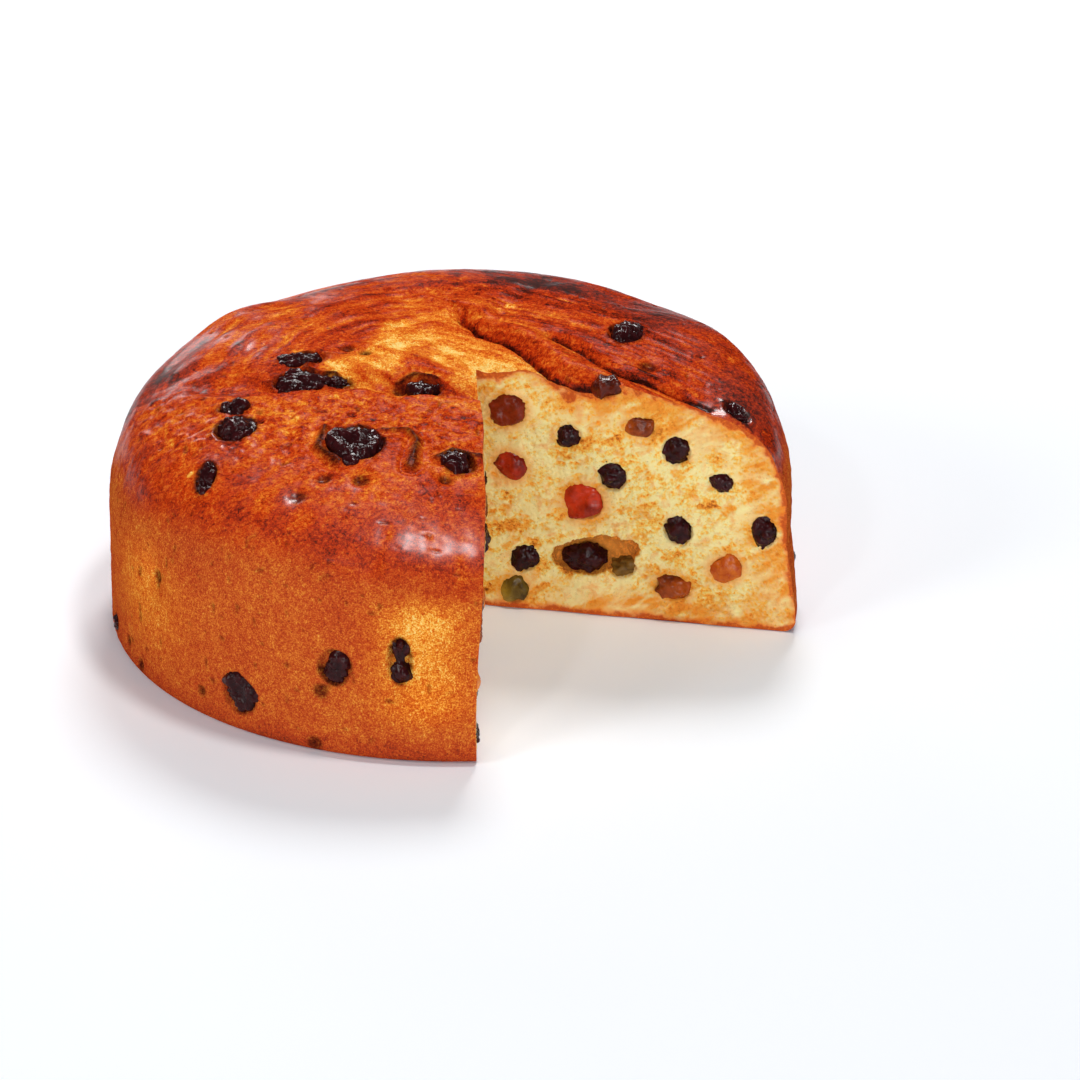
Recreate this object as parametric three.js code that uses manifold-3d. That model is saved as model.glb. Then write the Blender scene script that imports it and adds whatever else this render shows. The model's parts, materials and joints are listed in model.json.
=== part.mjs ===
import * as THREE from 'three';
import { mergeVertices } from 'three/addons/utils/BufferGeometryUtils.js';
import Module from 'manifold-3d';

// Low round panettone with raisins and candied fruit, and one wedge cut out of it.
// Millimetres, +Z up, origin in the middle of the base. One cut face looks along +X, and the other
// is turned 78 degrees from it. Angles are in degrees, counterclockwise from +X seen from above.

const wasm = await Module();
wasm.setup();

// Driving dimensions of the loaf
const RADIUS = 104;
const BELT = 28;
const FOOT = 4;
const CROWN = 78.8;
const CROWN_RISE_RIGHT = -0.8;
const CROWN_RISE_BACK = 6.2;
const CROWN_BOW = -4.3;
const DOME_FLATNESS = 8;
const DOME_FLATTER_RIGHT = 2.6;
const DOME_FLATTER_BACK = 0.8;
const DOME_SHOULDER = 3.9;

// Beside the cut the wall leans in and the crown sags
const LEAN = 11;
const LEAN_SPREAD = 42;
const SAG = 26;
const SAG_SPREAD = 45;

// The missing wedge
const APEX = new THREE.Vector2(6.2, 6.2);
const NEAR_CUT_ANGLE = -90;
const FAR_CUT_ANGLE = -12;
const WEDGE_MIDDLE = (NEAR_CUT_ANGLE + FAR_CUT_ANGLE) / 2;
const CUT_UNEVENNESS = 0.5;
const NEAR_CUT_BULGE = 2.2;
const NEAR_CUT_BULGE_HEIGHT = 62;

// How finely the loaf and the cut are divided
const SEGMENTS = 80;
const TOP_ROWS = 15;
const TOP_SHARE = 0.8;
const SHOULDER_ROWS = 8;
const WALL_ROWS = 4;
const FOOT_ROWS = 3;
const CUT_STEP = 10;
const CUT_REACH = 130;

// Gap between a piece of fruit and the socket that the bread leaves round it
const FRUIT_GAP = 0.3;

const UP = new THREE.Vector3(0, 0, 1);
const DEGREE = Math.PI / 180;

function bell(distance, width) {
  return Math.exp(-((distance / width) ** 2));
}

function smooth(low, high, value) {
  return THREE.MathUtils.smoothstep(value, low, high);
}

function angleBetween(a, b) {
  return Math.abs(THREE.MathUtils.euclideanModulo(a - b + 180, 360) - 180);
}

// Seeded random draws, so that the model comes out the same every time
function randomFrom(seed) {
  let state = seed;
  return () => {
    state = (state * 1664525 + 1013904223) % 4294967296;
    return state / 4294967296;
  };
}

// Outline of the risen loaf, before its relief.
// station 0 is the middle of the top, 1 the belt under the dome, 2 the foot, 3 the edge of the base
// and 4 its middle.
function crownHeight(angle, x, y) {
  const across = (x * x + y * y) / RADIUS ** 2;
  const sag = SAG * bell(angleBetween(angle, WEDGE_MIDDLE), SAG_SPREAD);
  return CROWN + (CROWN_RISE_RIGHT * x + CROWN_RISE_BACK * y) / RADIUS + (CROWN_BOW - sag) * across;
}

function wallRadius(angle, z) {
  const lean = LEAN * bell(angleBetween(angle, WEDGE_MIDDLE), LEAN_SPREAD);
  return RADIUS - lean * (z / BELT) ** 1.5;
}

function outline(angle, station) {
  const cos = Math.cos(angle * DEGREE);
  const sin = Math.sin(angle * DEGREE);
  if (station <= 1) {
    const r = station * wallRadius(angle, BELT);
    const flatness = DOME_FLATNESS + DOME_FLATTER_RIGHT * cos + DOME_FLATTER_BACK * sin;
    const arch = (1 - station ** flatness) ** (1 / DOME_SHOULDER);
    return { r, z: BELT + (crownHeight(angle, r * cos, r * sin) - BELT) * arch };
  }
  if (station <= 2) {
    const z = THREE.MathUtils.lerp(BELT, FOOT, station - 1);
    return { r: wallRadius(angle, z), z };
  }
  if (station <= 3) {
    const turn = (station - 2) * 90 * DEGREE;
    return {
      r: wallRadius(angle, FOOT) - FOOT * (1 - Math.cos(turn)),
      z: FOOT * (1 - Math.sin(turn)),
    };
  }
  return { r: 0, z: 0 };
}

// Relief of the crust, outwards in millimetres. Creases and rims are lines seen from above.
const FRONT_RIM = [[-82, -3], [-71, -10], [-55, -13.5], [-33, -12.5], [-16, -16], [-2, -17], [8, -17]];
const SPLIT = [[8, 2], [0, 19], [-5, 32], [-9, 46], [-15, 60]];
const FLAP_CREASE = [[2, 44], [8, 31], [15, 25], [21, 18], [25, 10], [29, 3], [36, 0], [43, -2]];
const SECOND_CREASE = [[30, 27], [38, 20], [43, 13], [49, 6], [57, 3.5], [66, -1], [76, -5]];
const FOLDS = [
  [[-93, 12], [-88, 21], [-73, 41], [-54, 46], [-41, 44]],
  [[-93, 5], [-80, 14], [-64, 20], [-53, 25]],
  [[-60, 56], [-45, 59], [-33, 57], [-20, 43], [-12, 29]],
  [[10, 32], [14, 46], [20, 60], [29, 74]],
];

function distanceToLine(line, x, y) {
  let nearest = { distance: Infinity, side: 1 };
  for (let i = 1; i < line.length; i += 1) {
    const [ax, ay] = line[i - 1];
    const dx = line[i][0] - ax;
    const dy = line[i][1] - ay;
    const along = ((x - ax) * dx + (y - ay) * dy) / (dx * dx + dy * dy);
    const t = THREE.MathUtils.clamp(along, 0, 1);
    const distance = Math.hypot(x - ax - t * dx, y - ay - t * dy);
    if (distance < nearest.distance) {
      nearest = { distance, side: Math.sign(dx * (y - ay) - dy * (x - ax)) || 1 };
    }
  }
  return nearest;
}

// The front lobe ends in a rim, and a valley lies behind that, deeper on the right
function frontValley(x, y) {
  const { distance, side } = distanceToLine(FRONT_RIM, x, y);
  const behind = side * distance;
  const rim = 0.8 * bell(behind, 6);
  const depth = THREE.MathUtils.lerp(2.2, 4, smooth(-34, -14, x));
  const valley = -depth * bell(behind - 8, 8);
  return smooth(-92, -76, x) * THREE.MathUtils.lerp(rim, valley, smooth(-1, 6, behind));
}

// The skin tore along the split, and its torn middle lies lower
function tornSplit(x, y) {
  return -1.6 * bell(distanceToLine(SPLIT, x, y).distance, 9);
}

// A flap of crust overlaps the torn bread along its crease, and stands higher on the right of it
function flapEdge(x, y) {
  const { distance, side } = distanceToLine(FLAP_CREASE, x, y);
  return 1.2 * bell(side * distance - 6, 5) - 3 * bell(distance, 3.5);
}

function secondCrease(x, y) {
  return -1.8 * bell(distanceToLine(SECOND_CREASE, x, y).distance, 3.2);
}

function folds(x, y) {
  return FOLDS.reduce((sum, fold) => sum - 0.9 * bell(distanceToLine(fold, x, y).distance, 4), 0);
}

// Swellings and dents of the top and the shoulder: x, y, reach and height
const TOP_LUMPS = [
  [-49, 65, 14, -1.4],
  [-68, 58, 14, 1.8],
  [-28, 74, 16, -1.2],
  [82, 42, 14, 1.2],
  [55, 62, 14, -2],
  [-12, -62, 22, 1.4],
  [-52, -50, 18, -1.2],
  [44, 40, 20, 1],
];

// Hollows and swellings of the side: angle, height, reach and depth
const SIDE_LUMPS = [
  [-149, 37, 7, -2.2],
  [-94, 27, 10, -1.2],
  [-122, 44, 22, 0.7],
  [-160, 26, 20, -0.8],
  [165, 34, 18, 0.9],
  [118, 22, 20, -1],
  [72, 36, 22, 0.9],
  [30, 24, 20, -0.9],
];

function topRelief(x, y) {
  const lumps = TOP_LUMPS.reduce((sum, [cx, cy, reach, height]) => (
    sum + height * bell(Math.hypot(x - cx, y - cy), reach)), 0);
  return lumps + frontValley(x, y) + tornSplit(x, y) + flapEdge(x, y) + secondCrease(x, y)
    + folds(x, y);
}

// Where the glossy dome swells over the dull side, the wall has a faint waist
function sideRelief(angle, z) {
  const waist = 55 + 3 * Math.sin(angle * DEGREE * 2) + 2 * Math.sin(angle * DEGREE * 5);
  const lumps = SIDE_LUMPS.reduce((sum, [at, height, reach, depth]) => {
    const across = angleBetween(angle, at) * DEGREE * RADIUS;
    return sum + depth * bell(Math.hypot(across, z - height), reach);
  }, 0);
  return lumps - 0.7 * bell(z - waist, 5) * smooth(40, 55, angleBetween(angle, 90));
}

function crustPoint(angle, station) {
  const { r, z } = outline(angle, station);
  const cos = Math.cos(angle * DEGREE);
  const sin = Math.sin(angle * DEGREE);
  const sideways = smooth(0.62, 0.98, station);
  const out = new THREE.Vector3(cos * sideways, sin * sideways, 1 - sideways).normalize();
  const onTop = topRelief(r * cos, r * sin) * (1 - smooth(0.86, 1, station));
  const onSide = sideRelief(angle, z) * smooth(0.8, 0.95, station) * (1 - smooth(1.9, 2.2, station));
  return new THREE.Vector3(r * cos, r * sin, z).addScaledVector(out, onTop + onSide);
}

function stations() {
  const rows = [0];
  for (let i = 1; i <= TOP_ROWS; i += 1) rows.push(TOP_SHARE * i / TOP_ROWS);
  for (let i = 1; i <= SHOULDER_ROWS; i += 1) {
    rows.push(TOP_SHARE + (1 - TOP_SHARE) * Math.sin(90 * DEGREE * i / SHOULDER_ROWS));
  }
  for (let i = 1; i <= WALL_ROWS; i += 1) rows.push(1 + i / WALL_ROWS);
  for (let i = 1; i <= FOOT_ROWS; i += 1) rows.push(2 + i / FOOT_ROWS);
  rows.push(4);
  return rows;
}

// A sphere's rows and columns, moved onto the loaf
function wholeLoaf() {
  const rows = stations();
  const geometry = new THREE.SphereGeometry(1, SEGMENTS, rows.length - 1);
  const position = geometry.attributes.position;
  for (let i = 0; i < position.count; i += 1) {
    const row = Math.floor(i / (SEGMENTS + 1));
    const column = i % (SEGMENTS + 1) % SEGMENTS;
    const point = crustPoint(column * 360 / SEGMENTS, rows[row]);
    position.setXYZ(i, point.x, point.y, point.z);
  }
  return geometry;
}

// The two cut faces. along runs out from the apex, and the face's normal points into the gap.
function cutFace(angle, outwardTurn) {
  const along = new THREE.Vector3(Math.cos(angle * DEGREE), Math.sin(angle * DEGREE), 0);
  const normal = along.clone().applyAxisAngle(UP, outwardTurn * DEGREE);
  return { along, normal };
}
const NEAR_CUT = cutFace(NEAR_CUT_ANGLE, 90);
const FAR_CUT = cutFace(FAR_CUT_ANGLE, -90);

// How far a cut face stands out into the gap. The near one bulges where its crust curls.
function cutRelief(face, reach, z) {
  const wave = Math.sin(reach / 5.3 + Math.sin(z / 9)) + Math.sin(z / 7.1 + reach / 13);
  const curl = bell(z - NEAR_CUT_BULGE_HEIGHT, 22) * smooth(0, 25, reach) - 0.25 * bell(z, 20);
  return CUT_UNEVENNESS * wave / 2 + (face === NEAR_CUT ? NEAR_CUT_BULGE * curl : 0);
}

function cutPoint(face, reach, z) {
  return new THREE.Vector3(APEX.x, APEX.y, z)
    .addScaledVector(face.along, reach)
    .addScaledVector(face.normal, reach > 0 ? cutRelief(face, reach, z) : 0);
}

function wedgeCutter() {
  const reaches = [];
  for (let reach = CUT_STEP; reach <= CUT_REACH; reach += CUT_STEP) reaches.push(reach);
  const flat = (face, reach) => new THREE.Vector2(
    APEX.x + face.along.x * reach, APEX.y + face.along.y * reach);
  const outer = new THREE.Vector2(APEX.x + CUT_REACH, APEX.y - CUT_REACH);
  const shape = new THREE.Shape([
    APEX.clone(),
    ...reaches.map((reach) => flat(NEAR_CUT, reach)),
    outer,
    ...reaches.toReversed().map((reach) => flat(FAR_CUT, reach)),
  ]);
  const low = -CUT_STEP;
  const steps = 12;
  const geometry = new THREE.ExtrudeGeometry(shape, {
    depth: steps * CUT_STEP, steps, bevelEnabled: false });
  const position = geometry.attributes.position;
  for (let i = 0; i < position.count; i += 1) {
    const x = position.getX(i) - APEX.x;
    const y = position.getY(i) - APEX.y;
    const z = position.getZ(i) + low;
    const reach = Math.hypot(x, y);
    const face = [NEAR_CUT, FAR_CUT].find(({ along }) => (
      reach > 0 && Math.hypot(x - along.x * reach, y - along.y * reach) < 0.01));
    const point = face ? cutPoint(face, reach, z) : new THREE.Vector3(x + APEX.x, y + APEX.y, z);
    position.setXYZ(i, point.x, point.y, point.z);
  }
  return geometry;
}

// Places for fruit: a point, the outward normal and the direction of the fruit's length
function place(point, normal, right) {
  const across = right.clone().addScaledVector(normal, -right.dot(normal)).normalize();
  return { point, normal, across };
}

function crustPlace(angle, station, right) {
  const point = crustPoint(angle, station);
  const back = crustPoint(angle, station - 0.02);
  const left = crustPoint(angle - 2, station);
  const normal = new THREE.Vector3().crossVectors(point.clone().sub(left), back.sub(point));
  return place(point, normal.normalize(), right);
}

function onTop(x, y) {
  const angle = Math.atan2(y, x) / DEGREE;
  return crustPlace(angle, Math.hypot(x, y) / wallRadius(angle, BELT), new THREE.Vector3(1, 0, 0));
}

function onSide(angle, z) {
  let above = 0.3;
  let below = 2;
  while (below - above > 1e-9) {
    const middle = (above + below) / 2;
    if (outline(angle, middle).z > z) above = middle;
    else below = middle;
  }
  const right = new THREE.Vector3(-Math.sin(angle * DEGREE), Math.cos(angle * DEGREE), 0);
  return crustPlace(angle, above, right);
}

function onNearCut(reach, z) {
  return place(cutPoint(NEAR_CUT, reach, z), NEAR_CUT.normal, new THREE.Vector3(0, 1, 0));
}

function onFarCut(reach, z) {
  return place(cutPoint(FAR_CUT, reach, z), FAR_CUT.normal, FAR_CUT.along);
}

// Fruit shapes, as unit forms that are then stretched to size
function raisinForm(random) {
  const geometry = closed(new THREE.SphereGeometry(1, 6, 4));
  const position = geometry.attributes.position;
  const lean = random() * 6;
  for (let i = 0; i < position.count; i += 1) {
    const v = new THREE.Vector3().fromBufferAttribute(position, i);
    const furrow = Math.sin(3 * Math.atan2(v.y, v.x) + lean + 2 * v.z);
    v.multiplyScalar(0.93 + 0.06 * furrow + 0.1 * (random() - 0.5));
    position.setXYZ(i, v.x, v.y, v.z);
  }
  return geometry;
}

function candiedForm(random) {
  const geometry = closed(new THREE.BoxGeometry(2, 2, 2, 2, 2, 2));
  const position = geometry.attributes.position;
  const taper = 0.3 * (random() - 0.5);
  for (let i = 0; i < position.count; i += 1) {
    const v = new THREE.Vector3().fromBufferAttribute(position, i);
    const corners = Math.abs(v.x) + Math.abs(v.y) + Math.abs(v.z) - 1;
    v.multiplyScalar(1 - 0.11 * corners + 0.1 * (random() - 0.5));
    v.x *= 1 + taper * v.y;
    position.setXYZ(i, v.x, v.y, v.z);
  }
  return geometry;
}

// Keeps position alone and joins the vertices that coincide
function closed(geometry) {
  const bare = geometry.clone();
  bare.deleteAttribute('normal');
  bare.deleteAttribute('uv');
  return mergeVertices(bare, 1e-4);
}

function solid(geometry) {
  const { attributes, index } = closed(geometry);
  return new wasm.Manifold(new wasm.Mesh({
    numProp: 3,
    vertProperties: new Float32Array(attributes.position.array),
    triVerts: new Uint32Array(index.array),
  }));
}

// The largest body alone: a cut can leave crumbs
function geometryOf(manifold) {
  const bodies = manifold.decompose().toSorted((a, b) => b.volume() - a.volume());
  const mesh = bodies[0].getMesh();
  const geometry = new THREE.BufferGeometry();
  geometry.setAttribute('position', new THREE.BufferAttribute(mesh.vertProperties, 3));
  geometry.setIndex(new THREE.BufferAttribute(mesh.triVerts, 1));
  geometry.computeVertexNormals();
  return geometry;
}

// A fruit's geometry in the loaf's frame, grown outwards from its middle by gap.
// A whole fruit is length by width, and thick through; sunk is how deep its middle lies.
function fruitGeometry(form, fruit, gap) {
  const { point, normal, across } = fruit.at;
  const upward = new THREE.Vector3().crossVectors(normal, across);
  const turned = across.clone().applyAxisAngle(normal, fruit.turn * DEGREE);
  const turnedUp = upward.clone().applyAxisAngle(normal, fruit.turn * DEGREE);
  const frame = new THREE.Matrix4().makeBasis(turned, turnedUp, normal);
  const geometry = form.clone();
  const position = geometry.attributes.position;
  for (let i = 0; i < position.count; i += 1) {
    const v = new THREE.Vector3().fromBufferAttribute(position, i);
    v.multiply(new THREE.Vector3(fruit.length / 2, fruit.width / 2, fruit.thick / 2));
    v.setLength(v.length() + gap);
    v.applyMatrix4(frame).add(point).addScaledVector(normal, -fruit.sunk);
    position.setXYZ(i, v.x, v.y, v.z);
  }
  return geometry;
}

// Colours and finish
const finish = (color, roughness) => new THREE.MeshStandardMaterial({ color, roughness, metalness: 0 });
const COLOURS = {
  raisin: () => finish('#1c1016', 0.35),
  golden: () => finish('#6b4a1c', 0.3),
  dark_red: () => finish('#5c1a0a', 0.25),
  red: () => finish('#b32a10', 0.25),
  orange: () => finish('#d9611a', 0.3),
  amber: () => finish('#a85a14', 0.3),
  green: () => finish('#6a6420', 0.35),
};

// Each fruit: where it sits, its length and width, its turn about the normal, and its colour
const raisin = (at, length, width, turn = 0) => ({
  kind: 'raisin', form: raisinForm, at, length, width, thick: 7.5, sunk: 2.6, turn, colour: 'raisin' });
const candied = (at, length, width, turn, colour) => ({
  kind: 'candied', form: candiedForm, at, length, width, thick: 7, sunk: 2.7, turn, colour });
const goldenRaisin = (at, length, width, turn) => ({
  ...raisin(at, length, width, turn), kind: 'golden_raisin', colour: 'golden' });

// The dome's raisins stand out of the crust more than the others do
const standingOut = (fruit) => ({ ...fruit, sunk: 1.4 });

const TOP_FRUIT = [
  raisin(onTop(-46.6, 12), 14, 8, 10),
  raisin(onTop(-46.3, -1.2), 18, 10, 12),
  raisin(onTop(-34.5, -2), 8, 7, 40),
  raisin(onTop(-64.4, -29.5), 13, 12, 30),
  raisin(onTop(-66, -18), 9, 6, 0),
  raisin(onTop(-72.7, -50.5), 6, 12, -10),
  raisin(onTop(-29.2, -43.3), 17, 19, 20),
  raisin(onTop(-9.3, -5.1), 9, 8, 20),
  raisin(onTop(0.5, -51.4), 8, 11, 10),
  raisin(onTop(52, 31.6), 10, 15, -20),
  raisin(onTop(84.3, -4.5), 9, 6, -40),
];

const SIDE_FRUIT = [
  raisin(onSide(-127, 13), 11.5, 13, 15),
  raisin(onSide(-109.5, 28), 10, 12, -15),
  raisin(onSide(-99, 32), 7.5, 15, 0),
  raisin(onSide(-168, 7), 6, 6, 0),
  raisin(onSide(168, 30), 9, 12, 30),
  raisin(onSide(141, 14), 11, 8, -20),
  raisin(onSide(122, 47), 8, 12, 10),
  raisin(onSide(97, 19), 12, 9, 40),
  raisin(onSide(76, 36), 7, 11, -30),
  raisin(onSide(52, 14), 10, 10, 0),
  raisin(onSide(27, 33), 8, 13, 20),
  raisin(onSide(6, 15), 11, 8, -10),
];

const FAR_FRUIT = [
  candied(onFarCut(9.5, 65), 10, 9, 12, 'dark_red'),
  raisin(onFarCut(28.5, 58), 8, 8, 0),
  candied(onFarCut(11, 47), 9, 8, -35, 'red'),
  candied(onFarCut(50, 63), 8, 5.5, -5, 'amber'),
  raisin(onFarCut(61, 56), 9.5, 10, 0),
  raisin(onFarCut(42, 46), 9, 9.5, 30),
  candied(onFarCut(33, 37), 11, 10, 15, 'red'),
  raisin(onFarCut(15, 16.5), 9.5, 9, 20),
  { ...raisin(onFarCut(33, 17.5), 13.5, 8, 5), sunk: 4 },
  { ...goldenRaisin(onFarCut(45.5, 15.5), 8.5, 5.5, 25), sunk: 3.8 },
  candied(onFarCut(12, 6), 8, 7.5, 20, 'green'),
  candied(onFarCut(39.5, 74.5), 9, 5.5, 8, 'dark_red'),
  raisin(onFarCut(75, 47), 8, 7, 0),
  raisin(onFarCut(62, 30), 10, 9, -20),
  candied(onFarCut(77, 19), 9, 8, 25, 'orange'),
  raisin(onFarCut(88, 32), 8, 11, 10),
  candied(onFarCut(61, 11), 10, 8, -10, 'amber'),
];

const NEAR_FRUIT = [
  raisin(onNearCut(29, 53), 9.5, 11, 10),
  candied(onNearCut(54, 57), 11, 10, 30, 'amber'),
  raisin(onNearCut(77, 56), 11, 8.5, -10),
  candied(onNearCut(65, 45), 6, 11, 30, 'red'),
  raisin(onNearCut(53, 38), 12, 9, 10),
  candied(onNearCut(86, 42), 8, 6, 15, 'orange'),
  raisin(onNearCut(95, 44), 7, 11, -10),
  candied(onNearCut(16, 40), 10, 9, 0, 'orange'),
  candied(onNearCut(35, 24), 12, 7, 5, 'amber'),
  candied(onNearCut(70, 25), 11, 9.5, -10, 'amber'),
  raisin(onNearCut(32, 9), 12, 10, 20),
  candied(onNearCut(49, 11), 10, 8.5, 0, 'red'),
  raisin(onNearCut(79, 9.5), 13, 9.5, -5),
  candied(onNearCut(86.5, 17), 5.5, 9, -25, 'orange'),
  raisin(onNearCut(10, 66), 8, 7, 15),
  raisin(onNearCut(101, 7), 6.5, 7, 0),
];

const group = new THREE.Group();
let sockets = null;
let seed = 11;

function addFruit(where, fruits) {
  const count = {};
  fruits.forEach((fruit) => {
    seed += 1;
    const form = fruit.form(randomFrom(seed));
    const socket = solid(fruitGeometry(form, fruit, FRUIT_GAP));
    sockets = sockets ? sockets.add(socket) : socket;
    count[fruit.kind] = (count[fruit.kind] ?? 0) + 1;
    const mesh = new THREE.Mesh(fruitGeometry(form, fruit, 0), COLOURS[fruit.colour]());
    mesh.name = `${fruit.kind}_${where}_${count[fruit.kind]}`;
    group.add(mesh);
  });
}

// A hollow between the layers of crumb on the far cut, where two raisins lie
function crumbHollow() {
  const hollow = { at: onFarCut(37, 19.5), length: 27, width: 13, thick: 11, sunk: 0, turn: 13 };
  return solid(fruitGeometry(closed(new THREE.SphereGeometry(1, 14, 8)), hollow, 0));
}

addFruit('top', TOP_FRUIT.map(standingOut));
addFruit('side', SIDE_FRUIT);
addFruit('far_cut', FAR_FRUIT);
addFruit('near_cut', NEAR_FRUIT);

const bread = solid(wholeLoaf())
  .subtract(solid(wedgeCutter()))
  .subtract(crumbHollow())
  .subtract(sockets);
const loaf = new THREE.Mesh(geometryOf(bread), finish('#b5602a', 0.6));
loaf.name = 'loaf';
group.add(loaf);

export default group;
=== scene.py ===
# The looks of a cut panettone: browned crust, yellow crumb and fruit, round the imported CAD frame.
# Lengths are millimetres until a mesh is made, angles are degrees counterclockwise from +X.
import json
import math

import bmesh
import bpy
import numpy as np
from mathutils import Matrix, Vector


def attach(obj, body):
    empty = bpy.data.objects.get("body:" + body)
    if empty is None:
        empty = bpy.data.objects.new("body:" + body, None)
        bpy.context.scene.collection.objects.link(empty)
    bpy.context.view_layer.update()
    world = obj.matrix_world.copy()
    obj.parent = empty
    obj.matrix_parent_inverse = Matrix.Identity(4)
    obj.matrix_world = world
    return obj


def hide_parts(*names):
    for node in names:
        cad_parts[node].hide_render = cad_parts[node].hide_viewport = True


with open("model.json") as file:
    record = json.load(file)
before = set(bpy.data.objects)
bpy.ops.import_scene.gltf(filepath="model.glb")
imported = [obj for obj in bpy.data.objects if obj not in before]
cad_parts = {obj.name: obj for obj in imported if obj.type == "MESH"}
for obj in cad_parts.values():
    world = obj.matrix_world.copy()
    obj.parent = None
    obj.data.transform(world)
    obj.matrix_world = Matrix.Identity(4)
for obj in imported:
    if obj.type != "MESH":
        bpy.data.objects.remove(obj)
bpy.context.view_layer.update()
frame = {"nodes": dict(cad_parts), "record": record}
MM = 0.001

# Dimensions of the loaf, as in the CAD source
RADIUS = 104
BELT = 28
FOOT = 4
CROWN = 78.8
CROWN_RISE_RIGHT = -0.8
CROWN_RISE_BACK = 6.2
CROWN_BOW = -4.3
DOME_FLATNESS = 8
DOME_FLATTER_RIGHT = 2.6
DOME_FLATTER_BACK = 0.8
DOME_SHOULDER = 3.9
LEAN = 11
LEAN_SPREAD = 42
SAG = 26
SAG_SPREAD = 45
APEX = np.array([6.2, 6.2])
NEAR_CUT_ANGLE = -90
FAR_CUT_ANGLE = -12
WEDGE_MIDDLE = (NEAR_CUT_ANGLE + FAR_CUT_ANGLE) / 2
CUT_UNEVENNESS = 0.5
NEAR_CUT_BULGE = 2.2
NEAR_CUT_BULGE_HEIGHT = 62

# Height of the waist between the dull side and the glossy dome, and how browned each of them is, from 0 to 1
WAIST = 55
SIDE_BAKE = 0.49
DOME_BAKE = 0.55

# How finely the crust, its base, the fruit and the cuts are divided, and the raster of the pores
COLUMNS = 620
TOP_ROWS = 100
SHOULDER_ROWS = 100
SIDE_ROWS = 72
BASE_ROWS = 24
FRUIT_LEVELS = 3
CUT_COLUMNS = 360
CUT_ROWS = 260
RASTER = 0.25
RASTER_REACH = 125
RASTER_HEIGHT = 95

# Pores of each kind on a cut face: how many, and their smallest and largest half width
PORES = [
    (12000, 0.22, 0.5),
    (1700, 0.45, 0.75),
    (40, 0.8, 1.2),
]

# The hollow in the crumb of the far cut
HOLLOW = {"reach": 37, "z": 19.5, "length": 27, "width": 13, "thick": 11, "turn": 13}

# Where the camera stands, and where the middle of the base lies in the picture
CAMERA_DISTANCE = 1.6
CAMERA_ELEVATION = 25.2
CAMERA_LENS = 175.13
CAMERA_SENSOR = 36
PICTURE = 1080
FOCAL_PIXELS = CAMERA_LENS / CAMERA_SENSOR * PICTURE
BASE_RIGHT = 455.3 - PICTURE / 2
BASE_DOWN = 612.2 - PICTURE / 2


def bell(distance, width):
    return np.exp(-(distance / width) ** 2)


def smooth(low, high, value):
    t = np.clip((value - low) / (high - low), 0, 1)
    return t * t * (3 - 2 * t)


def mix(a, b, share):
    return a + (b - a) * share


def angle_between(a, b):
    return np.abs((a - b + 180) % 360 - 180)


def lattice(ix, iy, iz, seed):
    """A fixed draw from -1 to 1 for each whole-numbered place."""
    h = (ix * 374761393 + iy * 668265263 + iz * 1103515245 + seed * 974634777) & 0xFFFFFFFF
    h = ((h ^ (h >> 13)) * 1274126177) & 0xFFFFFFFF
    return (h ^ (h >> 16)) / 2 ** 31 - 1.0


def noise(x, y, z, size, seed):
    """Smooth noise from about -1 to 1, whose swellings are size wide."""
    x, y, z = np.broadcast_arrays(x, y, z)
    px, py, pz = x / size, y / size, z / size
    ix, iy, iz = (np.floor(p).astype(np.int64) for p in (px, py, pz))
    fx, fy, fz = (smooth(0, 1, p - i) for p, i in ((px, ix), (py, iy), (pz, iz)))
    total = 0
    for dx in (0, 1):
        for dy in (0, 1):
            for dz in (0, 1):
                weight = (fx if dx else 1 - fx) * (fy if dy else 1 - fy) * (fz if dz else 1 - fz)
                total = total + weight * lattice(ix + dx, iy + dy, iz + dz, seed)
    return total


def layered(x, y, z, size, seed, layers=3):
    return sum(noise(x, y, z, size / 2 ** i, seed + i) / 2 ** i for i in range(layers))


# Outline of the risen loaf
def crown_height(angle, x, y):
    across = (x * x + y * y) / RADIUS ** 2
    sag = SAG * bell(angle_between(angle, WEDGE_MIDDLE), SAG_SPREAD)
    rise = (CROWN_RISE_RIGHT * x + CROWN_RISE_BACK * y) / RADIUS
    return CROWN + rise + (CROWN_BOW - sag) * across


def wall_radius(angle, z):
    lean = LEAN * bell(angle_between(angle, WEDGE_MIDDLE), LEAN_SPREAD)
    return RADIUS - lean * (z / BELT) ** 1.5


def bearing(x, y):
    return np.degrees(np.arctan2(y, x))


def dome_height(x, y):
    angle = bearing(x, y)
    station = np.clip(np.hypot(x, y) / wall_radius(angle, BELT), 0, 1)
    turn = np.radians(angle)
    flatness = DOME_FLATNESS + DOME_FLATTER_RIGHT * np.cos(turn) + DOME_FLATTER_BACK * np.sin(turn)
    arch = (1 - station ** flatness) ** (1 / DOME_SHOULDER)
    return BELT + (crown_height(angle, x, y) - BELT) * arch


def from_apex(turn, reach):
    return APEX[0] + reach * np.cos(np.radians(turn)), APEX[1] + reach * np.sin(np.radians(turn))


def reach_to_wall(turn, z, inset=0.0):
    """How far the wall is from the apex, along a direction."""
    toward = APEX[0] * np.cos(np.radians(turn)) + APEX[1] * np.sin(np.radians(turn))
    reach = np.full(np.broadcast(turn, z).shape, float(RADIUS))
    for _ in range(12):
        radius = wall_radius(bearing(*from_apex(turn, reach)), z) - inset
        reach = np.sqrt(toward ** 2 - APEX @ APEX + radius ** 2) - toward
    return reach


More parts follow.
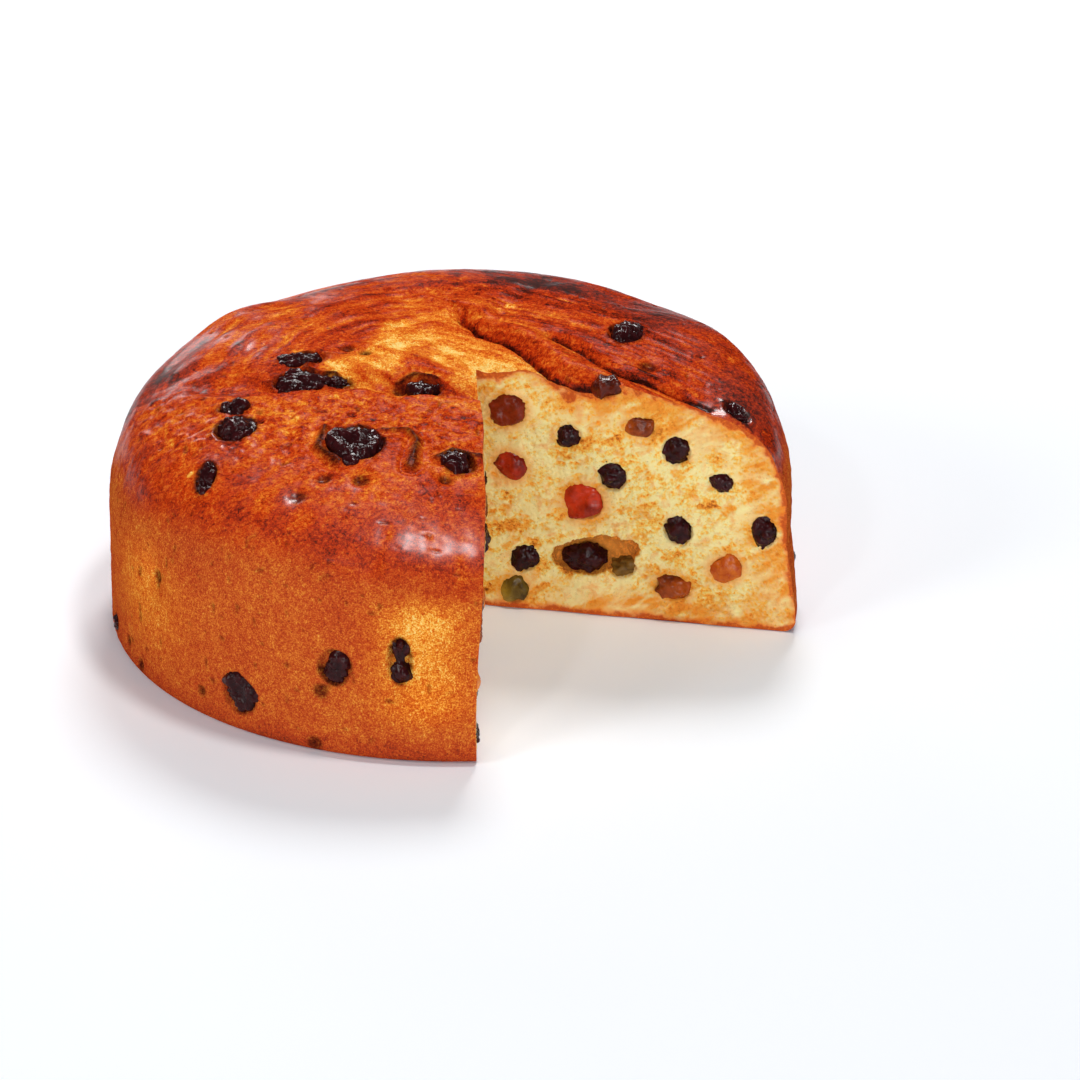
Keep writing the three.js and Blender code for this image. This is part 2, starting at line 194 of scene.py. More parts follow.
def loaf_outline():
    """Reach and height of the loaf's skin for each column, evenly spaced from the apex to the foot."""
    turn = np.linspace(FAR_CUT_ANGLE, NEAR_CUT_ANGLE + 360, COLUMNS + 1)[:, None]
    steps = np.linspace(0, 1, 700)[None, :]
    share = 1 - (1 - steps) ** 4
    reach = share * reach_to_wall(turn, BELT)
    height = dome_height(*from_apex(turn, reach))
    wall = np.linspace(BELT, FOOT, 80)[None, 1:]
    rounding = np.radians(np.linspace(0, 90, 16))[None, 1:]
    foot_height = FOOT * (1 - np.sin(rounding))
    foot_reach = reach_to_wall(turn, FOOT, FOOT * (1 - np.cos(rounding)))
    reach = np.concatenate([reach, reach_to_wall(turn, wall), foot_reach], axis=1)
    height = np.concatenate([height, wall + 0 * turn, foot_height + 0 * turn], axis=1)
    rows = TOP_ROWS + SHOULDER_ROWS + SIDE_ROWS
    even = np.linspace(0, 1, rows + 1)
    out = np.zeros((2, rows + 1, COLUMNS + 1))
    for i in range(COLUMNS + 1):
        length = np.concatenate([[0], np.cumsum(np.hypot(np.diff(reach[i]), np.diff(height[i])))])
        out[0, :, i] = np.interp(even * length[-1], length, reach[i])
        out[1, :, i] = np.interp(even * length[-1], length, height[i])
    return turn[:, 0], out[0], out[1]


# Lines of the crust, seen from above
FRONT_RIM = [[-82, -3], [-71, -10], [-55, -13.5], [-33, -12.5], [-16, -16], [-2, -17], [8, -17]]
SPLIT = [[8, 2], [0, 19], [-5, 32], [-9, 46], [-15, 60]]
FLAP_CREASE = [[2, 44], [8, 31], [15, 25], [21, 18], [25, 10], [29, 3], [36, 0], [43, -2]]
SECOND_CREASE = [[30, 27], [38, 20], [43, 13], [49, 6], [57, 3.5], [66, -1], [76, -5]]
FOLDS = [
    [[-93, 12], [-88, 21], [-73, 41], [-54, 46], [-41, 44]],
    [[-93, 5], [-80, 14], [-64, 20], [-53, 25]],
    [[-60, 56], [-45, 59], [-33, 57], [-20, 43], [-12, 29]],
    [[10, 32], [14, 46], [20, 60], [29, 74]],
]
YELLOW_PATCH = [[-30, 5], [-22, 15], [-14, 34]]
BRIGHTEST = [[-36, 4], [-26, 9], [-17, 26], [-11, 25], [-4.6, 18.7], [4, 13], [13, 5], [20, 3.5]]
# Direction that the flaps run in, the middle of the crumb that shows between them, and the angles of the
# side's two pale patches
FLAP_RUN = (0.84, -0.54)
CRUMB_PATCH = (11, 5)
FRONT_PATCH_ANGLE = -95
LEFT_PATCH_ANGLE = -152
# Curled black skin between two raisins, and dark folds near the others
CURLS = [
    [[-42, 13], [-45, 6], [-41, 2], [-36, 1.5], [-32.5, -3.5]],
    [[-21, -35.5], [-14, -36], [-11, -42], [-13, -56]],
    [[-38, -33], [-40, -44], [-34, -53]],
    [[-17, -1], [-12, 1.5], [-6, -1]],
    [[-5, -50], [-1, -45.5], [5, -47]],
]
# Small burnt dimples of the dome (x, y, size) and of the side (angle, height, size)
TOP_DIMPLES = [
    [-45, -67, 2.6],
    [-38, -60, 2.2],
    [-27, -62, 2.8],
    [-3, -60, 2.2],
    [-32, 18, 2.2],
    [-26.5, 15, 1.8],
    [-16.5, -3, 2.6],
    [58, 12, 3.4],
    [-60, -26, 2.4],
]
SIDE_DIMPLES = [
    [-112, 20, 2.4],
    [-113, 3, 2.6],
    [-135.5, 9, 1.8],
    [-154, 4, 2.2],
    [-160, 7.5, 1.8],
    [-149, 36, 2.2],
]
# Small pale flakes of torn skin on the dome: x, y and size
PALE_FLAKES = [
    [17, 51, 2.4],
    [14.5, 46, 1.6],
    [-33.5, -4, 1.3],
    [-77, -47, 1.5],
    [-72, -31, 1.4],
    [-47, -27, 1.6],
]
# Broad swellings and hollows: x, y, reach and height on the dome; angle, height, reach and depth on the side
TOP_LUMPS = [
    [-49, 65, 14, -1.4],
    [-68, 58, 14, 1.8],
    [-28, 74, 16, -1.2],
    [82, 42, 14, 1.2],
    [55, 62, 14, -2],
    [-12, -62, 22, 1.4],
    [-52, -50, 18, -1.2],
    [44, 40, 20, 1],
]
SIDE_LUMPS = [
    [-149, 37, 7, -2.2],
    [-94, 27, 10, -1.2],
    [-122, 44, 22, 0.7],
    [-160, 26, 20, -0.8],
    [165, 34, 18, 0.9],
    [118, 22, 20, -1],
    [72, 36, 22, 0.9],
    [30, 24, 20, -0.9],
]


def line_distance(line, x, y):
    """Distance from a line of points, negative on its right-hand side."""
    nearest = np.full(np.shape(x), np.inf)
    side = np.ones(np.shape(x))
    for (ax, ay), (bx, by) in zip(line[:-1], line[1:]):
        dx, dy = bx - ax, by - ay
        t = np.clip(((x - ax) * dx + (y - ay) * dy) / (dx * dx + dy * dy), 0, 1)
        distance = np.hypot(x - ax - t * dx, y - ay - t * dy)
        closer = distance < nearest
        side = np.where(closer, np.where(dx * (y - ay) - dy * (x - ax) < 0, -1, 1), side)
        nearest = np.where(closer, distance, nearest)
    return nearest * side


def front_valley(x, y):
    ragged = 1.8 * noise(x, y, 0 * x, 9, 71) + 0.9 * noise(x, y, 0 * x, 4, 72)
    behind = line_distance(FRONT_RIM, x, y) + ragged
    rim = 0.8 * bell(behind, 6)
    depth = mix(2.2, 4, smooth(-34, -14, x)) * (1 + 0.3 * noise(x, y, 0 * x, 12, 73))
    valley = -depth * bell(behind - 8, 8)
    return smooth(-92, -76, x) * mix(rim, valley, smooth(-1, 6, behind))


def flap_edge(x, y):
    side = line_distance(FLAP_CREASE, x, y)
    return 1.2 * bell(side - 6, 5) - 3 * bell(side, 3.5)


def top_relief(x, y):
    lumps = sum(height * bell(np.hypot(x - cx, y - cy), reach) for cx, cy, reach, height in TOP_LUMPS)
    folds = sum(-0.9 * bell(line_distance(fold, x, y), 4) for fold in FOLDS)
    split = -1.6 * bell(line_distance(SPLIT, x, y), 9)
    second = -1.8 * bell(line_distance(SECOND_CREASE, x, y), 3.2)
    return lumps + folds + split + second + front_valley(x, y) + flap_edge(x, y)


def waist_height(angle):
    turn = np.radians(angle)
    return WAIST + 3 * np.sin(turn * 2) + 2 * np.sin(turn * 5)


def side_relief(angle, z):
    lumps = 0
    for at, height, reach, depth in SIDE_LUMPS:
        across = np.radians(angle_between(angle, at)) * RADIUS
        lumps = lumps + depth * bell(np.hypot(across, z - height), reach)
    waist = 0.7 * bell(z - waist_height(angle), 5) * smooth(40, 55, angle_between(angle, 90))
    return lumps - waist


# The cut faces
class Cut:
    def __init__(self, angle, outward, bulge):
        turn = math.radians(angle)
        self.along = np.array([math.cos(turn), math.sin(turn), 0])
        self.normal = np.array([-math.sin(turn) * outward, math.cos(turn) * outward, 0])
        self.bulge = bulge

    def relief(self, reach, z):
        """How far the face stands out into the gap."""
        wave = np.sin(reach / 5.3 + np.sin(z / 9)) + np.sin(z / 7.1 + reach / 13)
        curl = bell(z - NEAR_CUT_BULGE_HEIGHT, 22) * smooth(0, 25, reach) - 0.25 * bell(z, 20)
        return (CUT_UNEVENNESS * wave / 2 + self.bulge * curl) * smooth(0, 5, reach)

    def point(self, reach, z, outward):
        flat = np.append(APEX, 0) + reach[..., None] * self.along + outward[..., None] * self.normal
        flat[..., 2] = z
        return flat


NEAR_CUT = Cut(NEAR_CUT_ANGLE, 1, NEAR_CUT_BULGE)
FAR_CUT = Cut(FAR_CUT_ANGLE, -1, 0)


def dome_normal(x, y):
    step = 0.5
    slope_x = (dome_height(x + step, y) - dome_height(x - step, y)) / (2 * step)
    slope_y = (dome_height(x, y + step) - dome_height(x, y - step)) / (2 * step)
    return np.array([-slope_x, -slope_y, 1]) / math.sqrt(slope_x ** 2 + slope_y ** 2 + 1)


# Fruit: its middle and the matrix that makes it a unit ball, read from the CAD nodes
class Fruit:
    def __init__(self, name):
        self.name = name
        co = np.array([v.co for v in frame["nodes"][name].data.vertices]) / MM
        self.middle = (co.max(0) + co.min(0)) / 2
        axes = np.linalg.eigh(np.cov((co - self.middle).T))[1]
        half = np.abs((co - self.middle) @ axes).max(0)
        self.half = half
        self.to_ball = axes / half
        self.outward = self.facing()

    def facing(self):
        """The direction that the bread faces where the fruit sits."""
        if "far_cut" in self.name:
            return FAR_CUT.normal
        if "near_cut" in self.name:
            return NEAR_CUT.normal
        x, y, z = self.middle
        if z < WAIST:
            return np.array([x, y, 0]) / math.hypot(x, y)
        return dome_normal(x, y)

    def distance(self, points):
        """About how far points lie outside the fruit's outline, negative inside."""
        away = points - self.middle
        away = away - 0.9 * (away @ self.outward)[..., None] * self.outward
        ball = np.linalg.norm(away @ self.to_ball, axis=-1)
        return (ball - 1) * self.half.mean()


FRUITS = [Fruit(name) for name in sorted(frame["nodes"]) if name != "loaf"]


def near_fruit(points, kinds, width, inset=0.0):
    """1 from inset inside the outline of a fruit, falling to 0 over width."""
    nearest = np.full(points.shape[:-1], 99.0)
    for fruit in FRUITS:
        if not fruit.name.startswith(kinds):
            continue
        close = np.abs(points - fruit.middle).max(-1) < fruit.half.max() + 3 * width
        if close.any():
            nearest[close] = np.minimum(nearest[close], fruit.distance(points[close]))
    return bell(np.clip(nearest + inset, 0, None), width)


# Meshes
def link(name, mesh):
    piece = bpy.data.objects.new(name, mesh)
    bpy.context.scene.collection.objects.link(piece)
    return piece


def sheet_of(name, points, values, pole=False):
    """A grid of points as a mesh. With a pole, the whole first row is one vertex."""
    rows, columns = points.shape[:2]
    index = np.arange(rows * columns).reshape(rows, columns)
    faces = np.stack([index[:-1, :-1], index[1:, :-1], index[1:, 1:], index[:-1, 1:]], -1)
    if pole:
        tips = faces[0][:, [0, 1, 2]] - (columns - 1)
        tips[:, 0] = 0
        used = np.concatenate([[0], np.arange(columns, rows * columns)])
        faces = (faces[1:] - (columns - 1)).reshape(-1, 4).tolist()
        faces = tips.tolist() + faces
    else:
        used = np.arange(rows * columns)
        faces = faces.reshape(-1, 4).tolist()
    mesh = bpy.data.meshes.new(name)
    mesh.from_pydata((points.reshape(-1, 3)[used] * MM).tolist(), [], faces)
    for key, value in values.items():
        layer = mesh.attributes.new(key, "FLOAT", "POINT")
        layer.data.foreach_set("value", np.ascontiguousarray(value.reshape(-1)[used], dtype=np.float32))
    mesh.shade_smooth()
    return link(name, mesh)


def surface_normals(points):
    down = np.gradient(points, axis=0)
    across = np.gradient(points, axis=1)
    normal = np.cross(down, across)
    length = np.linalg.norm(normal, axis=-1, keepdims=True)
    normal = normal / np.maximum(length, 1e-9)
    normal[0] = normal[1].mean(0)
    return normal / np.linalg.norm(normal, axis=-1, keepdims=True)


# Crust
def crust_grid():
    turn, reach, height = loaf_outline()
    x, y = from_apex(turn[None, :], reach)
    base = np.stack([x, y, height], -1)
    normal = surface_normals(base)
    angle = bearing(x, y)
    station = np.hypot(x, y) / wall_radius(angle, BELT)
    on_dome = smooth(BELT, BELT + 6, height)
    on_top = (1 - smooth(0.86, 1, station)) * on_dome
    on_side = smooth(0.8, 0.95, station) * smooth(3.4, 7, height)
    looks, fine = crust_looks(x, y, height, angle, on_top)
    relief = top_relief(x, y) * on_top + side_relief(angle, height) * on_side
    relief = relief + fine * smooth(1.5, 4, height)
    ragged = noise(x, y, height, 2.6, 81)
    socket = near_fruit(base, ("raisin",), 0.6, 0.5)
    scorched = near_fruit(base, ("raisin",), mix(0.4, 1.1, smooth(50, 60, height)))
    relief = relief + (0.5 * scorched - (2.0 + 0.5 * ragged) * socket) * smooth(2, 6, height)
    looks["burn"] = np.maximum(looks["burn"], np.clip(scorched * (0.8 + 0.7 * ragged), 0, 1))
    points = base + normal * relief[..., None]
    for cut, column in ((FAR_CUT, 0), (NEAR_CUT, COLUMNS)):
        from_edge = points - np.append(APEX, 0)
        edge_reach = from_edge[:, column] @ cut.along
        offset = cut.relief(edge_reach, points[:, column, 2]) - from_edge[:, column] @ cut.normal
        away = np.abs(np.radians(turn - turn[column]))[None, :] * reach
        points = points + (offset[:, None] * bell(away, 6))[..., None] * cut.normal
    points[0] = np.append(APEX, dome_height(*APEX) + relief[0].mean())
    return points, looks


def streaks(x, y, z):
    """Fine lines of the skin: along the flaps on the right, round the left shoulder, down the front."""
    across = -FLAP_RUN[1] * x + FLAP_RUN[0] * y
    along = FLAP_RUN[0] * x + FLAP_RUN[1] * y
    right = layered(across, along / 8, 0 * z, 1.7, 31, 3)
    radius = np.hypot(x, y) + 0.6 * z
    turn = np.radians(bearing(x, y)) * 75
    left = layered(radius, turn / 9, 0 * z, 2.4, 33, 3)
    front = layered(turn, radius / 6, 0 * z, 3.0, 35, 3)
    middle = layered(0.6 * x + 0.8 * y, 0.2 * x - 0.15 * y, 0 * z, 2.2, 37, 2)
    front = mix(middle, front, smooth(45, 72, np.hypot(x, y)))
    share_right = smooth(-6, 14, x + 0.2 * y)
    share_left = smooth(-10, 25, y - 0.4 * x - 20)
    return mix(mix(front, left, share_left), right, share_right)


def dimples(x, y, z, angle):
    """1 in the middle of each burnt dimple, falling to 0 round it."""
    hollow = 0 * x
    for cx, cy, size in TOP_DIMPLES:
        hollow = np.maximum(hollow, bell(np.hypot(x - cx, y - cy), size) * smooth(50, 56, z))
    for at, height, size in SIDE_DIMPLES:
        across = np.radians(angle_between(angle, at)) * RADIUS
        hollow = np.maximum(hollow, bell(np.hypot(across, z - height), size))
    return hollow


def crust_looks(x, y, z, angle, on_top):
    """How browned, glossy, glazed, burnt and dull the crust is, with painted shade in the creases, behind the
    front rim and on the right side, and its fine relief in millimetres.
    """
    # Lines, patches and spots of the skin
    wander = 3 * layered(x, y, z, 9, 3)
    split = line_distance(SPLIT, x, y)
    flap = line_distance(FLAP_CREASE, x, y)
    second = line_distance(SECOND_CREASE, x, y)
    rim = line_distance(FRONT_RIM, x, y)
    curl = np.min([np.abs(line_distance(line, x, y)) for line in CURLS], axis=0) + 0.2 * wander
    hollow = dimples(x + 0.3 * wander, y, z, angle)
    flake = np.max([bell(np.hypot(x - cx, y - cy), size) for cx, cy, size in PALE_FLAKES], axis=0)
    flake = smooth(0.3, 0.7, flake + 0.05 * wander) * on_top
    between = smooth(2, -3, split) * smooth(1.5, -1.5, flap) * smooth(60, 40, y)
    torn = smooth(12, 1, np.abs(split) + wander) * smooth(66, 50, y + wander)
    torn = np.maximum(torn, between)
    patch = np.abs(line_distance(YELLOW_PATCH, x, y)) + wander
    torn = np.maximum(torn, 0.95 * smooth(14, 4, patch)) * on_top * smooth(-1, 5, rim)
    torn = torn * smooth(1.5, -1.5, flap)
    bright = bell(np.abs(line_distance(BRIGHTEST, x, y)) + wander, 7)
    crumb = np.hypot(x - CRUMB_PATCH[0], (y - CRUMB_PATCH[1]) * 1.2) + 0.5 * wander
    crumb = smooth(8, 4, crumb) * on_top * smooth(0, -2, flap)

    # Uneven shades, from wide to narrow
    waist = smooth(-7, 6, z - waist_height(angle) + 3 * noise(x, y, z, 14, 21))
    streak = streaks(x, y, z)
    mottle = layered(x, y, z, 17, 41, 3)
    blotch = layered(x, y, z, 7, 45, 3)
    fine_mottle = layered(x, y, z, 3, 47, 3)
    speck = smooth(0.66, 0.9, noise(x, y, z, 2.4, 49))

    # How browned it is, from 0 for crumb to 1 for burnt, with painted shade added in places: the side, the
    # dome and then the torn skin
    wall = SIDE_BAKE + 0.06 * mottle + 0.04 * fine_mottle
    pale_front = bell(angle_between(angle, FRONT_PATCH_ANGLE) * 1.8, 13) * smooth(8, 18, z)
    pale_left = 0.7 * bell(angle_between(angle, LEFT_PATCH_ANGLE) * 1.8, 20) * bell(z - 30, 16)
    light = np.maximum(pale_front * smooth(54, 42, z), pale_left)
    wall = wall - 0.3 * light * (0.8 + 0.7 * mottle) + 0.14 * smooth(9, 2, z)
    # Darker toward the right: partly more browned, partly painted shade on the side turned away from the
    # light
    dome = DOME_BAKE + 0.24 * smooth(10, 70, x + 0.3 * y) + 0.07 * smooth(30, 80, y)
    dome = dome + 0.06 * smooth(-50, -85, x)
    dome = dome + 0.04 * bell(z - waist_height(angle) - 2, 7)
    dome = dome + 0.1 * bell(rim - 16, 14) * smooth(-30, -60, x)
    front = bell(rim + 16, 18) * on_top * smooth(20, 0, x)
    dome = dome - 0.09 * front
    dome = dome - 0.1 * smooth(18, 2, split * smooth(-5, 5, split)) * on_top * smooth(-40, -10, x)
    calm = np.maximum(front, smooth(-12, -34, y) * smooth(30, 0, x))
    calm = np.maximum(calm, 0.7 * smooth(60, 80, np.hypot(x, y)) * smooth(-30, 0, x))
    dome = dome + 0.17 * streak * (1 - 0.75 * calm) + 0.1 * mottle
    dome = dome + 0.1 * blotch * smooth(0.4, 1, on_top)
    dome = dome + 0.38 * front * (np.abs(fine_mottle) - 0.25)
    dome = dome + 0.3 * np.abs(blotch) * smooth(48, 66, y) * smooth(50, 20, np.abs(x - 2))
    strip = smooth(0, 2.5, flap) * smooth(0, -2.5, second) * on_top * smooth(18, 26, x)
    dome = mix(dome, 0.5 + 0.12 * streak, strip)
    bake = mix(wall, dome, waist)
    creases = np.maximum(bell(flap, 1.5), 0.8 * bell(second, 1.2)) * on_top
    # Painted shade: the flap creases and a thin line just behind the front rim are made darker
    bake = bake + 0.4 * creases + 0.12 * bell(rim - 5, 4) * on_top * smooth(2, -8, x)
    bake = mix(bake, mix(0.36, 0.18, bright) + 0.1 * blotch + 0.2 * streak, torn)
    bake = mix(bake, 0.08 + 0.1 * fine_mottle, crumb)
    bake = mix(bake, 0.2 + 0.15 * fine_mottle, flake)

    # Dullness, gloss, glaze, and burnt spots together with painted shade in the creases
    dull = (1 - waist) * (1 - light)
    gloss = waist * (1 - 0.8 * torn) * (1 - crumb)
    shoulder = smooth(62, 84, np.hypot(x, y)) * waist
    on_left = smooth(-48, -75, x - 0.3 * y) * smooth(-35, 0, y)
    glaze = np.maximum(shoulder * mix(1, 0.6, smooth(-40, -80, x)), 0.6 * on_left)
    glaze = glaze * (1 - 0.45 * smooth(20, 60, x) * smooth(-10, 30, y))
    glaze = gloss * glaze * np.clip(0.8 + 0.8 * mottle + 0.5 * streak + 0.7 * blotch, 0.1, 1)
    black = bell(curl, 1.3) * on_top
    # Painted shade: the creases are darkened again with the burnt tint
    burn = 0.9 * smooth(0.35, 0.8, creases) * smooth(-0.4, 0.3, fine_mottle)
    burn = np.maximum(burn, 0.6 * speck * smooth(4, 8, z) * (1 - torn) * (1 - crumb))
    burn = np.maximum(burn, np.maximum(black, 0.85 * smooth(0.2, 0.7, hollow)))
    glaze = np.maximum(glaze, 0.05 * np.maximum(black, gloss))

    # Fine relief
    soft = 1 - 0.8 * shoulder
    fine = 0.15 * fine_mottle * (1 - 0.6 * gloss) + gloss * soft * (0.2 * blotch + 0.3 * mottle)
    fine = fine + gloss * (0.2 - 0.1 * shoulder) * streak * (1 - 0.5 * calm)
    fine = fine + front * (0.45 * fine_mottle - 0.3 * np.abs(blotch)) - 0.3 * speck * (1 - torn)
    fine = fine + torn * (0.5 * streak + 0.4 * blotch)
    fine = fine + crumb * (0.4 * fine_mottle - 0.9 * smooth(0.1, 0.5, layered(x, y, z, 1.8, 61, 2)))
    fine = fine - 1.3 * bell(flap, 0.9) * on_top - 0.9 * bell(second, 0.8) * on_top
    fine = fine + 0.5 * flake
    fine = fine + (0.8 * bell(curl, 1.2) - 0.6 * bell(curl - 2.6, 1.2)) * on_top - 1.3 * hollow
    looks = {"bake": np.clip(bake, 0, 1), "gloss": gloss, "glaze": glaze, "burn": burn, "dull": dull}
    return looks, fine


def base_disc(crust, looks):
    """The flat base, from the crust's last row in to the apex."""
    share = np.linspace(1, 0, BASE_ROWS + 1)[:, None, None]
    middle = np.append(APEX, 0)
    points = middle + (crust[-1:] - middle) * share
    points[..., 2] = 0
    like = {"bake": 0.6, "gloss": 0.0, "glaze": 0.0, "burn": 0.0, "dull": 1.0}
    return points[::-1], {key: np.full(points.shape[:2], like[key]) for key in looks}


def crust_pieces(material):
    points, looks = crust_grid()
    cuts = [0, TOP_ROWS, TOP_ROWS + SHOULDER_ROWS, TOP_ROWS + SHOULDER_ROWS + SIDE_ROWS]
    pieces = []
    for name, first, last in zip(("crust_top", "crust_shoulder", "crust_side"), cuts[:-1], cuts[1:]):
        rows = slice(first, last + 1)
        part = {key: value[rows] for key, value in looks.items()}
        pieces.append(sheet_of(name, points[rows], part, pole=first == 0))
    disc, disc_looks = base_disc(points, looks)
    pieces.append(sheet_of("crust_base", disc[:, ::-1], disc_looks, pole=True))
    for piece in pieces:
        piece.data.materials.append(material)
    return pieces, points


# Crumb
def stamp(field, reach, z, half_length, half_width, turn, depth):
    """Presses one rounded pit into the raster."""
    size = half_length * 1.2
    i0, i1 = int((z - size) / RASTER), int((z + size) / RASTER) + 2
    j0, j1 = int((reach - size) / RASTER), int((reach + size) / RASTER) + 2
    i0, j0 = max(i0, 0), max(j0, 0)
    window = field[i0:i1, j0:j1]
    if window.size == 0:
        return
    zz, rr = np.mgrid[i0:i0 + window.shape[0], j0:j0 + window.shape[1]] * RASTER
    c, s = math.cos(turn), math.sin(turn)
    u = ((rr - reach) * c + (zz - z) * s) / half_length
    v = ((zz - z) * c - (rr - reach) * s) / half_width
    pit = depth * np.clip(1 - u * u - v * v, 0, 1) ** 0.6
    np.maximum(window, pit, out=window)


def crumb_raster(seed):
    """Depth of the pores over a cut face, on a raster of reach and height."""
    rng = np.random.default_rng(seed)
    field = np.zeros((int(RASTER_HEIGHT / RASTER), int(RASTER_REACH / RASTER)))
    for count, low, high in PORES:
        for _ in range(count):
            reach, z = rng.uniform(0, 118), rng.uniform(0, 90)
            size = rng.uniform(low, high)
            flow = 0.5 * math.sin(reach / 17 + seed) + 0.4 * math.sin(z / 11 + reach / 23)
            turn = flow + rng.normal(0, 0.5)
            stamp(field, reach, z, size * rng.uniform(1.0, 2.2), size, turn, 0.2 + 0.8 * size)
    return field


def sample(field, reach, z):
    i = np.clip(z / RASTER, 0, field.shape[0] - 2)
    j = np.clip(reach / RASTER, 0, field.shape[1] - 2)
    i0, j0 = i.astype(int), j.astype(int)
    fi, fj = i - i0, j - j0
    low = mix(field[i0, j0], field[i0, j0 + 1], fj)
    high = mix(field[i0 + 1, j0], field[i0 + 1, j0 + 1], fj)
    return mix(low, high, fi)


def evenly(line, count):
    """A line of points divided into equal lengths."""
    length = np.concatenate([[0], np.cumsum(np.linalg.norm(np.diff(line, axis=0), axis=1))])
    at = np.linspace(0, length[-1], count)
    return np.stack([np.interp(at, length, line[:, k]) for k in range(2)], -1)


def cut_grid(edge, corner):
    """Reach and height all over a cut face. corner is the row of the edge that the grid's corner takes."""
    top = evenly(edge[:corner + 1], CUT_COLUMNS + 1)
    right = evenly(edge[corner:], CUT_ROWS + 1)
    left = evenly(np.array([edge[0], [0, 0]]), CUT_ROWS + 1)
    bottom = evenly(np.array([[0, 0], edge[-1]]), CUT_COLUMNS + 1)
    u = np.linspace(0, 1, CUT_COLUMNS + 1)[None, :, None]
    v = np.linspace(0, 1, CUT_ROWS + 1)[:, None, None]
    corners = ((1 - u) * (1 - v) * edge[0] + u * (1 - v) * edge[corner]
               + (1 - u) * v * np.zeros(2) + u * v * edge[-1])
    return (1 - v) * top[None] + v * bottom[None] + (1 - u) * left[:, None] + u * right[:, None] - corners


def crust_depth(edge, reach, z):
    """How far a place on a cut face is from the crust's edge."""
    nearest = np.full(reach.shape, 99.0)
    for a, b in zip(edge[:-4:4], edge[4::4]):
        step = b - a
        t = np.clip(((reach - a[0]) * step[0] + (z - a[1]) * step[1]) / max(step @ step, 1e-9), 0, 1)
        nearest = np.minimum(nearest, np.hypot(reach - a[0] - t * step[0], z - a[1] - t * step[1]))
    return nearest


def hollow_depth(reach, z, ragged):
    turn = math.radians(HOLLOW["turn"])
    u = (reach - HOLLOW["reach"]) * math.cos(turn) + (z - HOLLOW["z"]) * math.sin(turn)
    v = (z - HOLLOW["z"]) * math.cos(turn) - (reach - HOLLOW["reach"]) * math.sin(turn)
    ball = (u / (HOLLOW["length"] / 2)) ** 2 + (v / (HOLLOW["width"] / 2)) ** 2 + ragged
    return HOLLOW["thick"] / 2 * np.sqrt(np.clip(1 - ball, 0, 1))


def strands(reach, z, seed):
    """Long fibres of the crumb, which run up and outwards in waves."""
    wave = 4 * noise(reach, z, 0 * z, 24, seed)
    along = 0.9 * reach + 0.4 * z + wave
    across = 0.9 * z - 0.4 * reach + wave
    return layered(along / 3, across, 0 * z, 1.9, seed + 1, 3)


def crumb_piece(name, cut, crust, column, corner, seed, material):
    from_apex_point = crust[:, column] - np.append(APEX, 0)
    edge = np.stack([from_apex_point @ cut.along, from_apex_point[:, 2]], -1)
    edge[0, 0] = 0
    grid = cut_grid(edge, corner)
    reach, z = grid[..., 0], grid[..., 1]
    skin = crust_depth(edge, reach, z)
    pores = sample(crumb_raster(seed), reach, z)
    ragged = layered(reach, z, 0 * z, 3.5, seed + 5, 3)
    swell = layered(reach, z, 0 * z, 9, seed + 9, 2)
    shut = smooth(0.3, 2.2, skin) * smooth(0.2, 1.6, z) * smooth(0, 1.5, reach + 0.4)
    thick = 1 + 1.8 * bell(reach - 38, 17) * smooth(45, 60, z) * (cut is FAR_CUT)
    crumby = smooth(0.6, 3.4, skin / thick + 1.3 * ragged) * smooth(0.6, 3.2, z + 0.9 * ragged)
    strand = strands(reach, z, seed + 13)
    depth = (mix(0.35, 1, crumby) * pores + 0.4 * ragged - 0.35 * swell + 0.2 * strand) * shut
    hollow = np.zeros_like(z)
    if cut is FAR_CUT:
        hollow = hollow_depth(reach, z, 0.25 * ragged) * shut
    depth = np.maximum(depth, hollow + 0.4 * depth)
    points = cut.point(reach, z, cut.relief(reach, z) - depth)
    # The gap round each fruit: pressed into the crumb, and painted darker as shade by the crumb material
    halo = near_fruit(points, ("raisin", "golden", "candied"), 0.4, 0.5)
    sweet = near_fruit(points, ("candied",), 2.5)
    near_edge = np.maximum(smooth(19, 3, skin + 2 * ragged), smooth(14, 3, z + 2 * ragged))
    sweet = np.maximum(sweet, near_edge * smooth(5, 45, reach) * (0.85 + 0.7 * strand))
    points = points - (1.3 * halo * shut)[..., None] * cut.normal
    looks = {
        "pit": np.clip(depth / 1.6, 0, 1),
        "strand": strand,
        "band": 1 - crumby,
        "halo": halo,
        "sweet": sweet,
        "hollow": np.clip(hollow / 4, 0, 1),
    }
    if cut is NEAR_CUT:
        points = points[:, ::-1]
        looks = {key: value[:, ::-1] for key, value in looks.items()}
    piece = sheet_of(name, points, looks)
    piece.data.materials.append(material)
    return piece


